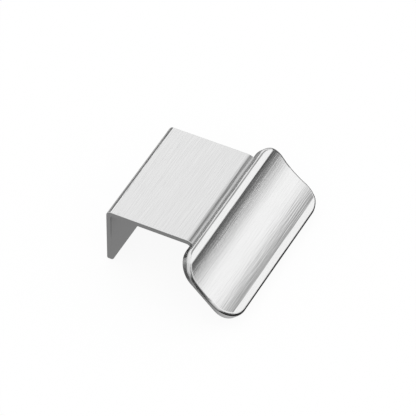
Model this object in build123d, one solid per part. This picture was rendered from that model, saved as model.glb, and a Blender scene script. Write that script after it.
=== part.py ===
from build123d import *

import os

# A short profile handle for the top edge of a drawer front or a cabinet door.
# It is one extruded aluminium section: a flange that is screwed to the back of the board,
# a plate that lies on the board's edge, and a finger lip that leans out in front.
# The ends of the plate and flange are milled back, so the lip is the widest part.
# X runs along the board, -Y points to the front and +Z is up.
# The origin is the middle of the flat seat under the plate.

# Plate and flange, in millimetres and degrees
plate_length = 34.3
plate_thick = 1.4
seat_depth = 21.1
flange_thick = 1.3
flange_drop = 16.0
back_round = 1.4
seat_corner_round = 0.3
flange_corner = 1.5
end_round = 0.15

# Bend between the plate and the lip
bend_radius = 1.2
lip_tilt = 45.0

# Finger lip
lip_length = 50.0
lip_height = 21.2
lip_step = 1.2
lip_corner = 6.0
upper_land = 2.25
lower_land = 2.4
scoop_depth = 1.45

# Screw holes in the flange
hole_spacing = 16.0
hole_radius = 1.8
hole_drop = 7.5
countersink_radius = 2.7
countersink_angle = 90.0

# Places that follow from the sizes above
lip_thick = plate_thick + lip_step
flange_inside = seat_depth / 2
flange_outside = flange_inside + flange_thick
bend_start = -seat_depth / 2
scoop_end = lip_height - lower_land
scoop_middle = (upper_land + scoop_end) / 2
plate_root = lip_thick

# The lip is thinnest in the middle of its scoop, and the rounds of its rim share that thickness.
# The creases beside the scoop are rounder than the rim, so that the rim's round can follow them
scoop_wall = lip_thick - scoop_depth
front_edge_round = 0.74 * scoop_wall
back_edge_round = 0.22 * scoop_wall
crease_round = 1.1 * front_edge_round


def corner_at(sketch, point):
    """The corner of a flat outline that lies at a point."""
    return sketch.vertices().sort_by_distance(point)[0]


def rim_of(faces):
    """Edges round the outside of a group of faces: those that only one of them has."""
    edges = [edge for face in faces for edge in face.edges()]
    return ShapeList(edge for edge in edges if edges.count(edge) == 1)


# Plate and flange: the bent strip of the section, with a root that runs on into the lip
with BuildPart() as hanger:
    with BuildSketch(Plane.YZ) as strip:
        with BuildLine():
            under_bend = JernArc((bend_start, 0), (-1, 0), bend_radius, lip_tilt)
            over_bend = JernArc((bend_start, plate_thick), (-1, 0), bend_radius + plate_thick, lip_tilt)
            root = (under_bend % 1) * plate_root
            Polyline(under_bend @ 1, under_bend @ 1 + root, over_bend @ 1 + root, over_bend @ 1)
            Polyline(
                (bend_start, plate_thick),
                (flange_outside, plate_thick),
                (flange_outside, -flange_drop),
                (flange_inside, -flange_drop),
                (flange_inside, 0),
                (bend_start, 0),
            )
        make_face()
        fillet(corner_at(strip, (flange_outside, plate_thick)), back_round)
        fillet(corner_at(strip, (flange_inside, 0)), seat_corner_round)
    extrude(amount=plate_length / 2, both=True)
    fillet(hanger.edges().filter_by(Axis.Y).group_by(Axis.Z)[0], flange_corner)
    fillet(hanger.faces().filter_by(Axis.X).edges(), end_round)

# Frame of the lip: down its slope, out of its face, and its top front edge at mid-length
slope = Plane.YZ.from_local_coords(under_bend % 1)
outward = slope.cross(Vector(1, 0, 0))
lip_top = Plane.YZ.from_local_coords(over_bend @ 1) + outward * lip_step
section_plane = Plane(lip_top, x_dir=slope, z_dir=(-1, 0, 0))
face_plane = Plane(lip_top + slope * (lip_height / 2), x_dir=(1, 0, 0), z_dir=outward)

# Finger lip: two flat lands with a scoop between them, cut to a rounded outline
with BuildPart() as lip:
    with BuildSketch(section_plane) as lip_section:
        with BuildLine():
            Polyline((0, -lip_thick), (0, 0), (upper_land, 0))
            ThreePointArc((upper_land, 0), (scoop_middle, -scoop_depth), (scoop_end, 0))
            Polyline((scoop_end, 0), (lip_height, 0), (lip_height, -lip_thick), (0, -lip_thick))
        make_face()
        fillet(corner_at(lip_section, (upper_land, 0)), crease_round)
        fillet(corner_at(lip_section, (scoop_end, 0)), crease_round)
    extrude(amount=lip_length / 2, both=True)
    with BuildSketch(face_plane):
        RectangleRounded(lip_length, lip_height, lip_corner)
    extrude(amount=2 * lip_thick, both=True, mode=Mode.INTERSECT)
    front_faces = lip.faces().filter_by(lambda face: face.normal_at().dot(outward) > 0.9)
    fillet(rim_of(front_faces), front_edge_round)
    back_face = lip.faces().sort_by(Axis(lip_top, outward))[0]
    fillet(back_face.edges(), back_edge_round)

# One solid, with two countersunk screw holes through the flange
with BuildPart() as profile_handle:
    add(hanger.part)
    add(lip.part)
    with Locations(Plane((0, flange_outside, -hole_drop), x_dir=(-1, 0, 0), z_dir=(0, 1, 0))):
        with GridLocations(hole_spacing, 0, 2, 1):
            CounterSinkHole(hole_radius, countersink_radius, flange_thick, countersink_angle)

os.makedirs("parts", exist_ok=True)
export_step(profile_handle.part, "parts/profile_handle.step")
print("volume mm3", profile_handle.part.volume, "solids", len(profile_handle.part.solids()))
print("lip top", lip_top, "box", profile_handle.part.bounding_box())
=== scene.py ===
# %% [markdown]
# # A profile handle in brushed aluminium
# The handle is one short length of an extruded aluminium section. A flange is screwed to the
# back of a drawer front, a flat plate lies on the board's edge, and a slanted lip with a
# scooped face stands out in front for the fingers. Its shape comes ready from the CAD frame,
# so this lesson is about finish and light: how brushed metal is made to read as metal.

# %% Load the frame
import math

import bmesh
import bpy
from mathutils import Matrix, Vector


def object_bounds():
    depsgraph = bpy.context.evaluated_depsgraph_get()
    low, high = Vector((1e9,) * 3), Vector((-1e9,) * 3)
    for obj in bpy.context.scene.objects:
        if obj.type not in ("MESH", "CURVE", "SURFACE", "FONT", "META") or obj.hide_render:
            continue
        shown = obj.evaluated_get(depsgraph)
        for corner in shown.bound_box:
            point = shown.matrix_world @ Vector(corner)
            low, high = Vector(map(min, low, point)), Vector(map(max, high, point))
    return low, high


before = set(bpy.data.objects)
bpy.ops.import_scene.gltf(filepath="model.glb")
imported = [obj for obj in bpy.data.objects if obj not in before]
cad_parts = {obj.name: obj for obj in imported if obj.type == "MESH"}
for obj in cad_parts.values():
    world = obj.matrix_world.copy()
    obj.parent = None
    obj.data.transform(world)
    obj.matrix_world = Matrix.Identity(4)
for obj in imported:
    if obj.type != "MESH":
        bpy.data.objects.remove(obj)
cad_low, cad_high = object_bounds()
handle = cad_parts["profile_handle"]
MM = 0.001
size_mm = [round(side / MM, 2) for side in cad_high - cad_low]
print("handle", size_mm, "mm, triangles", len(handle.data.polygons))

# %% [markdown]
# ## Small helpers for colours and nodes
# Colours are written as the sRGB hex values that a paint chart or a colour picker gives.
# Shaders work with linear light, so one function converts them. Another one adds a node,
# sets its properties and fills or links its inputs, which keeps a node tree readable as text.


# %% Colour and node helpers
def linear(hex_colour):
    """Linear RGBA of an sRGB hex colour such as "#808080"."""
    channels = [int(hex_colour[i:i + 2], 16) / 255 for i in (1, 3, 5)]
    light = [c / 12.92 if c <= 0.04045 else ((c + 0.055) / 1.055) ** 2.4 for c in channels]
    return (*light, 1.0)


def add_node(tree, kind, inputs=None, **settings):
    """Add a node, set its properties, then fill each input with a value or link a socket to it."""
    node = tree.nodes.new(kind)
    for name, value in settings.items():
        setattr(node, name, value)
    for name, value in (inputs or {}).items():
        if isinstance(value, bpy.types.NodeSocket):
            tree.links.new(value, node.inputs[name])
        else:
            node.inputs[name].default_value = value
    return node


def new_material(name):
    """An empty material with nodes, and its tree."""
    material = bpy.data.materials.new(name)
    material.use_nodes = True
    material.node_tree.nodes.clear()
    return material, material.node_tree


print("mid grey #808080 is", round(linear("#808080")[0], 3), "in linear light")

# %% [markdown]
# ## Where the belt has brushed the metal
# After extrusion the faces that will show are dragged along an abrasive belt. Only the faces that
# look up or forward meet it: the ends are milled, and the inside is left as it came from the die.
# A painted mask could say so, but the direction of a face already does: a face was brushed if it
# looks upward and isn't a cut end. The mask is one on those faces and fades out round the edges.

# %% Brushed faces
# Upward part of a face's direction where brushing begins and is full, and the part towards an end
# of the section where it starts to fade and is gone
upward_begin, upward_full = 0.05, 0.3
endward_fade, endward_gone = 0.3, 0.7
aluminium, tree = new_material("brushed anodised aluminium")
place = add_node(tree, "ShaderNodeTexCoord")
facing = add_node(tree, "ShaderNodeSeparateXYZ", {"Vector": place.outputs["Normal"]})
upward = add_node(
    tree, "ShaderNodeMapRange",
    {"Value": facing.outputs["Z"], "From Min": upward_begin, "From Max": upward_full},
    interpolation_type="SMOOTHSTEP",
)
endward = add_node(tree, "ShaderNodeMath", {0: facing.outputs["X"]}, operation="ABSOLUTE")
sideways = add_node(
    tree, "ShaderNodeMapRange",
    {
        "Value": endward.outputs["Value"], "From Min": endward_fade, "From Max": endward_gone,
        "To Min": 1.0, "To Max": 0.0,
    },
    interpolation_type="SMOOTHSTEP",
)
brushed = add_node(
    tree, "ShaderNodeMath",
    {0: upward.outputs["Result"], 1: sideways.outputs["Result"]}, operation="MULTIPLY",
)
print("the mask takes", len(tree.nodes), "nodes")

# %% [markdown]
# ## Hairlines
# The belt leaves fine scratches along the section, some as long as the part and some only a few
# millimetres. A painted streak texture would look the same in any light. Here the scratches are
# relief, two noises stretched along X, so they show where the light on the metal changes and
# vanish where it is even, as on the real part. Their tone changes only very little.

# %% Hairlines
# Real belt marks are a few hundredths of a millimetre wide. These are drawn several times wider,
# so that they show at this distance
line_width, line_length, line_depth = 0.4 * MM, 60 * MM, 0.013 * MM
hair_width, hair_length, hair_depth = 0.25 * MM, 8 * MM, 0.041 * MM
lines_at = add_node(
    tree, "ShaderNodeMapping",
    {"Vector": place.outputs["Object"], "Scale": (1 / line_length, 1 / line_width, 1 / line_width)},
)
hairs_at = add_node(
    tree, "ShaderNodeMapping",
    {"Vector": place.outputs["Object"], "Scale": (1 / hair_length, 1 / hair_width, 1 / hair_width)},
)
lines = add_node(
    tree, "ShaderNodeTexNoise", {"Vector": lines_at.outputs["Vector"], "Scale": 1.0, "Detail": 2.0},
)
hairs = add_node(
    tree, "ShaderNodeTexNoise", {"Vector": hairs_at.outputs["Vector"], "Scale": 1.0, "Detail": 1.0},
)
# A belt presses hardest on the faces that lie flat under it. A steep face, whose direction has a
# small upward part, gets a lighter bite. How light was matched to the photograph
steep_upward, flat_upward = 0.65, 0.95
light_bite = 0.44
pressure = add_node(
    tree, "ShaderNodeMapRange",
    {
        "Value": facing.outputs["Z"], "From Min": steep_upward, "From Max": flat_upward,
        "To Min": light_bite, "To Max": 1.0,
    },
)
bite = add_node(
    tree, "ShaderNodeMath",
    {0: brushed.outputs["Value"], 1: pressure.outputs["Result"]}, operation="MULTIPLY",
)
line_relief = add_node(
    tree, "ShaderNodeBump",
    {"Height": lines.outputs["Fac"], "Strength": bite.outputs["Value"], "Distance": line_depth},
)
hair_relief = add_node(
    tree, "ShaderNodeBump",
    {
        "Height": hairs.outputs["Fac"], "Strength": bite.outputs["Value"], "Distance": hair_depth,
        "Normal": line_relief.outputs["Normal"],
    },
)
print("lines", round(line_width / MM, 2), "mm wide, hairs", round(hair_width / MM, 2), "mm wide")

# %% [markdown]
# ## Tone and gloss
# Anodising leaves a clear, hard skin, so the colour is that of bare aluminium: a very light
# neutral grey, a trace darker where the belt cut deeper. The brushed faces are a little glossier
# than the milled ends. One flat tone and one flat roughness would make the part look cast in
# plastic, so the tone follows the mask and the hairs, and the roughness follows the mask.

# %% Tone and roughness
noise_low, noise_high = 0.3, 0.7
milled_roughness, brushed_roughness = 0.16, 0.13
marks = add_node(
    tree, "ShaderNodeMix",
    {"Factor": brushed.outputs["Value"], "A": 0.5, "B": hairs.outputs["Fac"]},
)
tone = add_node(
    tree, "ShaderNodeMapRange",
    {
        "Value": marks.outputs["Result"], "From Min": noise_low, "From Max": noise_high,
        "To Min": linear("#F2F2F2")[0], "To Max": linear("#F7F7F7")[0],
    },
)
roughness = add_node(
    tree, "ShaderNodeMapRange",
    {"Value": brushed.outputs["Value"], "To Min": milled_roughness, "To Max": brushed_roughness},
)
print("roughness", milled_roughness, "on the ends and", brushed_roughness, "on the brushed faces")

# %% [markdown]
# ## Painted shade in the inner corner
# The bend runs into the step of the lip in a sharp inner corner, and a fine dark line shows there.
# Shadow alone can't draw the line, because bright metal shows hardly any, so the line is painted:
# near the corner the tone is darker, which is painted shade, and the metal is rougher. The corner
# runs straight along X, so the distance from it is mask enough.

# %% Inner corner
# Where the corner's line crosses the section, how far it runs to each side of the middle, and how
# far the painted shade and the rougher metal reach from it. Its reach, tone and roughness are matched to
# the photograph
corner_line = Vector((0.0, -12.39, 0.64)) * MM
corner_half = 17.2 * MM
corner_reach = 1.0 * MM
# A darker tone near the corner, which is painted shade, and a higher roughness there
painted_corner_shade, dull_roughness = linear("#C2C2C2")[0], 0.4
in_section = add_node(
    tree, "ShaderNodeVectorMath", {0: place.outputs["Object"], 1: (0.0, 1.0, 1.0)}, operation="MULTIPLY",
)
from_corner = add_node(
    tree, "ShaderNodeVectorMath", {0: in_section.outputs["Vector"], 1: corner_line}, operation="DISTANCE",
)
near_corner = add_node(
    tree, "ShaderNodeMapRange",
    {"Value": from_corner.outputs["Value"], "From Max": corner_reach, "To Min": 1.0, "To Max": 0.0},
)
# The lip is longer than the plate, and has no inner corner beyond the plate's ends
spot = add_node(tree, "ShaderNodeSeparateXYZ", {"Vector": place.outputs["Object"]})
from_middle = add_node(tree, "ShaderNodeMath", {0: spot.outputs["X"]}, operation="ABSOLUTE")
on_plate = add_node(
    tree, "ShaderNodeMath", {0: from_middle.outputs["Value"], 1: corner_half}, operation="LESS_THAN",
)
# One near the corner beside the plate, where shade is painted and the roughness is raised
dull_and_shaded = add_node(
    tree, "ShaderNodeMath",
    {0: near_corner.outputs["Result"], 1: on_plate.outputs["Value"]}, operation="MULTIPLY",
)
# Painted shade: the tone darkens near the corner
tone_with_painted_shade = add_node(
    tree, "ShaderNodeMix",
    {"Factor": dull_and_shaded.outputs["Value"], "A": tone.outputs["Result"], "B": painted_corner_shade},
)
metal_roughness = add_node(
    tree, "ShaderNodeMix",
    {"Factor": dull_and_shaded.outputs["Value"], "A": roughness.outputs["Result"], "B": dull_roughness},
)
print("dull metal within", round(corner_reach / MM, 2), "mm of the corner")

# %% [markdown]
# ## Brushed, clear anodised aluminium
# Across the hairlines the metal scatters light more widely than along them, so a reflection is
# smeared across the section. Finer relief could do that too, at the cost of many more samples.
# The shader's anisotropy does it at once.

# %% Aluminium
# The wide scatter runs across the hairlines. Any direction in the section plane gives it on an
# extruded face that doesn't look along it, and none of the broad faces looks along this one
across_lean = math.radians(20)
across = add_node(tree, "ShaderNodeCombineXYZ", {"Y": math.sin(across_lean), "Z": math.cos(across_lean)})
metal = add_node(
    tree, "ShaderNodeBsdfPrincipled",
    {
        "Base Color": tone_with_painted_shade.outputs["Result"], "Roughness": metal_roughness.outputs["Result"],
        "Metallic": 1.0, "Anisotropic": 0.7, "Tangent": across.outputs["Vector"],
        "Normal": hair_relief.outputs["Normal"],
    },
)
add_node(tree, "ShaderNodeOutputMaterial", {"Surface": metal.outputs["BSDF"]})
handle.data.materials.clear()
handle.data.materials.append(aluminium)
print(aluminium.name, "has", len(tree.nodes), "nodes")

# %% [markdown]
# ## A white floor that keeps its shadow
# The handle lies on a plain white ground. A white floor in even light never comes out quite
# white, so part of its brightness is its own: the camera, and the metal as a mirror, see that
# part, and it lights nothing. The rest is an ordinary matt surface, which keeps the shadow.

# %% Floor and world
stage_half = 3.0
floor_level = cad_low.z


def add_to_stage(name, shape, material):
    """Make a finished bmesh an object in the scene, apart from the handle."""
    mesh = bpy.data.meshes.new(name)
    shape.to_mesh(mesh)
    shape.free()
    thing = bpy.data.objects.new(name, mesh)
    thing.data.materials.append(material)
    bpy.context.scene.collection.objects.link(thing)
    return thing


own_share = 0.92
matt_share = 1 - own_share
white_floor, tree = new_material("white studio floor")
matt = add_node(tree, "ShaderNodeBsdfDiffuse", {"Color": (matt_share, matt_share, matt_share, 1.0)})
# One where the camera, a mirror or a clear material sees the floor, else zero
path = add_node(tree, "ShaderNodeLightPath")
camera_or_mirror = add_node(
    tree, "ShaderNodeMath",
    {0: path.outputs["Is Camera Ray"], 1: path.outputs["Is Glossy Ray"]}, operation="MAXIMUM",
)
seen = add_node(
    tree, "ShaderNodeMath",
    {0: camera_or_mirror.outputs["Value"], 1: path.outputs["Is Transmission Ray"]}, operation="MAXIMUM",
)
own = add_node(tree, "ShaderNodeMath", {0: seen.outputs["Value"], 1: own_share}, operation="MULTIPLY")
glow = add_node(tree, "ShaderNodeEmission", {"Color": linear("#FFFFFF"), "Strength": own.outputs["Value"]})
floor_sum = add_node(tree, "ShaderNodeAddShader", {0: matt.outputs["BSDF"], 1: glow.outputs["Emission"]})
add_node(tree, "ShaderNodeOutputMaterial", {"Surface": floor_sum.outputs["Shader"]})
shape = bmesh.new()
bmesh.ops.create_grid(
    shape, x_segments=1, y_segments=1, size=stage_half, matrix=Matrix.Translation((0, 0, floor_level)),
)
floor = add_to_stage("floor", shape, white_floor)

world = bpy.data.worlds.new("white tent")
bpy.context.scene.world = world
world.use_nodes = True
world.node_tree.nodes.clear()
sky = add_node(world.node_tree, "ShaderNodeBackground", {"Color": linear("#FFFFFF"), "Strength": 1.0})
add_node(world.node_tree, "ShaderNodeOutputWorld", {"Surface": sky.outputs["Background"]})
print(floor.name, "at", round(floor_level / MM, 2), "mm")

# %% [markdown]
# ## Cards for the metal to mirror
# In a white tent bright metal turns white all over and its form is lost. A photographer hangs
# grey cards just out of view, so that each curve has something to mirror. Lamps and flat cards
# would give hard bands. These cards are lit softly: each is folded over a few rungs, and its
# grey fades from one rung to the next. Only mirror rays see them, so that the floor stays white.

# %% Card helper
card_paint, tree = new_material("softly lit card")
shade = add_node(tree, "ShaderNodeVertexColor", layer_name="shade")
lit = add_node(tree, "ShaderNodeEmission", {"Color": shade.outputs["Color"], "Strength": 1.0})
add_node(tree, "ShaderNodeOutputMaterial", {"Surface": lit.outputs["Emission"]})


def mirror_card(name, rungs):
    """A card that only mirror rays see, folded over rungs: rows of points, each with its grey."""
    shape = bmesh.new()
    shade_layer = shape.verts.layers.float_color.new("shade")
    bmesh.ops.create_grid(shape, x_segments=len(rungs[0]) - 1, y_segments=len(rungs) - 1, size=1.0)
    # A grid has its vertices row by row, as the rungs have their points
    stops = [stop for rung in rungs for stop in rung]
    for vert, (point, grey) in zip(shape.verts, stops):
        vert.co = point
        vert[shade_layer] = linear(grey)
    card = add_to_stage(name, shape, card_paint)
    card.visible_camera = False
    card.visible_diffuse = False
    card.visible_transmission = False
    card.visible_shadow = False
    return card


def along_x(left, right, stops):
    """Rungs along X from left to right, one for each (Y, Z) point and its grey."""
    return [[((x, *point), grey) for x in (left, right)] for point, grey in stops]


print("card paint", card_paint.name)

# %% [markdown]
# ## The arch
# An arch of card over the handle, on the side away from the camera, is what its long faces
# mirror. The plate looks at the light stretch behind the top, the bend sweeps quickly over the
# dark band and draws its line, and the scoop of the lip looks at the bright stretch in front:
# it is lightest in the middle of the scoop and fades towards both of its creases. A dark strip
# hangs below the back end of the arch, for the plate's round back edge to mirror as a thin line.
# One lamp overhead would be quicker to place, but it would show as one hard streak.

# %% Arch
tent_half = 0.5
arch_left, arch_right = 0.2, 0.8
arch_greys = [
    (-46, "#FEFEFE"), (-12, "#E2E2E2"), (8, "#A8A8A8"), (20, "#6C6C6C"), (31, "#A8A8A8"), (38, "#B8B8B8"),
    (41, "#DCDCDC"), (48, "#F0F0F0"), (52, "#FCFCFC"), (74, "#FCFCFC"), (82, "#E0E0E0"), (90, "#B4B4B4"),
]


def overhead(angle):
    """A (Y, Z) point of the arch, at an angle in degrees from straight up towards the front."""
    turn = math.radians(angle)
    return -tent_half * math.sin(turn), tent_half * math.cos(turn)


arch_stops = [(overhead(angle), grey) for angle, grey in arch_greys]
arch = mirror_card("arch", along_x(arch_left, arch_right, arch_stops))
strip_left, strip_right = 0.33, 0.48
strip_angles = (-62, -46)
strip_stops = [(overhead(angle), "#181818") for angle in strip_angles]
back_strip = mirror_card("dark strip behind", along_x(strip_left, strip_right, strip_stops))
print(arch.name, "from", arch_greys[0][0], "to", arch_greys[-1][0], "degrees, and", back_strip.name)

# %% [markdown]
# ## The table
# The end faces, the flange and the rim of the lip look down, at the table. A white table would
# make them as light as the plate. Grey cards lie on it round the handle, with a dark mat in
# front, which the crease of the scoop and the lower rim mirror as the dark lines of the lip.
# A mat behind and two small dark cards close to the lip do the same for its rounded corners.

# %% Table cards
card_level = floor_level + 0.1 * MM
upper_level = floor_level + 0.2 * MM
reach = 1.5
card_seam = -40 * MM
left_end = -130 * MM
mat_right = 60 * MM
shade_half = 24 * MM
far_shade_right = 45 * MM


def table_card(name, left, right, greys, level=card_level):
    """A card on the table, with its greys at places given as millimetres along Y."""
    return mirror_card(name, along_x(left, right, [((y * MM, level), grey) for y, grey in greys]))


table_cards = [
    table_card("table card right", card_seam, reach, [
        (-28, "#C4C4C4"), (-20, "#909090"), (-10, "#808080"), (20, "#828282"), (60, "#B8B8B8"),
        (300, "#E0E0E0"),
    ]),
    table_card("table card left", left_end, card_seam, [
        (-28, "#8C8C8C"), (-14, "#888888"), (0, "#505050"), (500, "#505050"),
    ]),
    table_card("front mat", -reach, reach, [
        (-500, "#A8A8A8"), (-200, "#8C8C8C"), (-75, "#606060"), (-66, "#181818"), (-50, "#000000"),
        (-32, "#101010"), (-28, "#505050"),
    ]),
    table_card("mat behind", left_end, mat_right, [(170, "#505050"), (500, "#606060")], upper_level),
    table_card("shade under the lip", -shade_half, shade_half, [
        (-24, "#101010"), (2, "#101010"),
    ], upper_level),
    table_card("shade at the far end", shade_half, far_shade_right, [
        (-28, "#303030"), (-8, "#606060"),
    ], upper_level),
]
print("table cards", [card.name for card in table_cards])

# %% [markdown]
# ## Ceiling and walls
# The rounded ends and corners of the lip look to the sides, out of the arch. A soft ceiling and
# grey walls close the tent all round. The walls are darkest low in the front left corner, which
# gives the near rim its dark line with a light edge beside it. One even grey would be simpler,
# but a wall that is dark to the top darkens the handle from its other sides, so each wall fades
# to a light grey above.

# %% Ceiling and walls
tent_left = -0.6
wall_fade = 0.08


def wall(name, stops):
    """An upright card. At each (X, Y) point a low grey reaches a height and fades into a high grey."""
    rungs = []
    for point, height, low_grey, high_grey in stops:
        levels = [floor_level, height, height + wall_fade, tent_half]
        greys = [low_grey, low_grey, high_grey, high_grey]
        rungs.append([((*point, level), grey) for level, grey in zip(levels, greys)])
    return mirror_card(name, rungs)


# Two walls share each of these corners, so that they meet in the same grey
front_left = ((tent_left, -tent_half), 0.2, "#101010", "#C8C8C8")
back_left = ((tent_left, tent_half), 0.1, "#B0B0B0", "#E0E0E0")
back_right = ((arch_right, tent_half), 0.2, "#C8C8C8", "#E8E8E8")
ceiling_greys = [(-0.7, "#C0C0C0"), (-0.35, "#DCDCDC"), (arch_left, "#F4F4F4")]
ceiling_rungs = [[((x, y, tent_half), grey) for y in (-tent_half, tent_half)] for x, grey in ceiling_greys]
walls = [
    mirror_card("ceiling", ceiling_rungs),
    wall("front wall", [
        front_left,
        ((-0.165, -tent_half), 0.3, "#404040", "#D8D8D8"),
        ((-0.04, -tent_half), 0.3, "#A8A8A8", "#E8E8E8"),
        ((arch_left, -tent_half), 0.2, "#E0E0E0", "#F4F4F4"),
    ]),
    wall("left wall", [
        front_left,
        ((tent_left, -0.2), 0.12, "#606060", "#D8D8D8"),
        back_left,
    ]),
    wall("back wall", [
        back_left,
        ((0.25, tent_half), 0.2, "#C0C0C0", "#E0E0E0"),
        ((0.41, tent_half), 0.24, "#707070", "#E0E0E0"),
        back_right,
    ]),
    wall("right wall", [
        back_right,
        ((arch_right, -tent_half), 0.2, "#A0A0A0", "#D0D0D0"),
    ]),
]
print("walls", [card.name for card in walls])

# %% [markdown]
# ## The camera
# The photograph was taken from far away with a long lens: parallel edges of the plate hardly
# converge. Those edges fix the angle, and the frame is matched by one target point.

# %% Camera
azimuth, elevation = math.radians(-63.02), math.radians(44.9)
camera_distance = 1157.1 * MM
target = Vector((17.513, 1.027, -23.436)) * MM
lens_mm, sensor_mm = 390.4, 36
back = Vector((
    math.sin(azimuth) * math.cos(elevation), -math.cos(azimuth) * math.cos(elevation), math.sin(elevation),
))
camera = bpy.data.objects.new("camera", bpy.data.cameras.new("camera"))
camera.data.lens = lens_mm
camera.data.sensor_width = sensor_mm
camera.data.clip_start, camera.data.clip_end = 0.01, 20
camera.location = target + back * camera_distance
camera.rotation_euler = (-back).to_track_quat("-Z", "Y").to_euler()
bpy.context.scene.collection.objects.link(camera)
bpy.context.scene.camera = camera
bpy.context.scene.view_settings.view_transform = "Standard"
print("camera at", [round(x, 3) for x in camera.location])
